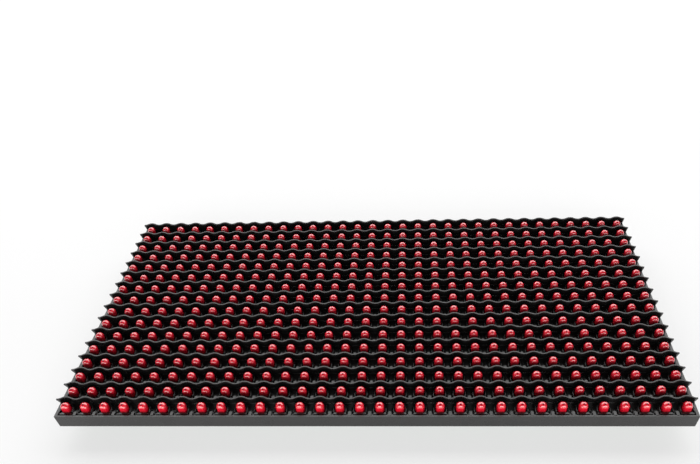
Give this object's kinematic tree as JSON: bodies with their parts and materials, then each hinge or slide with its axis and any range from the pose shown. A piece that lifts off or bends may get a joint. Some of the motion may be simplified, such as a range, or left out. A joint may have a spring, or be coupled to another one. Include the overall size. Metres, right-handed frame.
{
  "type": "led dot matrix display module",
  "caption": "Flat display panel: a louvred black mask over a grid of red lamps, with its driver board, headers and power terminal on the back.",
  "frame": {"origin": "under the middle of the display, level with the tips of the four locating pins", "axes": "+X to the viewer's right along the rows, +Y up the display as it hangs, +Z out of the lit face"},
  "size_m": [0.32, 0.16, 0.0222],
  "materials": {
    "black_plastic": "fine matt moulded black polycarbonate",
    "green_board": "green solder resist over copper, satin gloss",
    "red_resin": "clear-tinted red epoxy, glossy",
    "solder": "bright tin solder",
    "plated_pin": "nickel plated",
    "insert_brass": "turned brass",
    "black_screw": "black oxide",
    "connector_black": "black nylon",
    "contact_gold": "gold flashed",
    "clamp_metal": "copper-coloured plating",
    "can_sleeve": "shrunk black sleeve",
    "bung_rubber": "black rubber",
    "tinned_lead": "matt tin plating",
    "chip_body": "black moulding compound",
    "ceramic": "tan ceramic"
  },
  "bodies": {
    "root": {"mask": "black_plastic", "circuit_board": "green_board", "lamp_row_01": "red_resin", "lamp_row_02": "red_resin", "lamp_row_03": "red_resin", "lamp_row_04": "red_resin", "lamp_row_05": "red_resin", "lamp_row_06": "red_resin", "lamp_row_07": "red_resin", "lamp_row_08": "red_resin", "lamp_row_09": "red_resin", "lamp_row_10": "red_resin", "lamp_row_11": "red_resin", "lamp_row_12": "red_resin", "lamp_row_13": "red_resin", "lamp_row_14": "red_resin", "lamp_row_15": "red_resin", "lamp_row_16": "red_resin", "solder_joints": "solder", "locating_pins": "plated_pin", "threaded_inserts": "insert_brass", "board_screws": "black_screw", "input_header_shroud": "connector_black", "input_header_contacts": "contact_gold", "output_header_shroud": "connector_black", "output_header_contacts": "contact_gold", "power_terminal_body": "connector_black", "power_terminal_plates": "clamp_metal", "power_terminal_screws": "clamp_metal", "capacitor_cans": "can_sleeve", "capacitor_bungs": "bung_rubber", "capacitor_wires": "tinned_lead", "driver_chips": "chip_body", "driver_chip_leads": "tinned_lead", "logic_chips": "chip_body", "logic_chip_leads": "tinned_lead", "row_switches": "chip_body", "row_switch_leads": "tinned_lead", "ceramic_capacitors": "ceramic", "ceramic_capacitor_ends": "tinned_lead"}
  },
  "joints": []
}
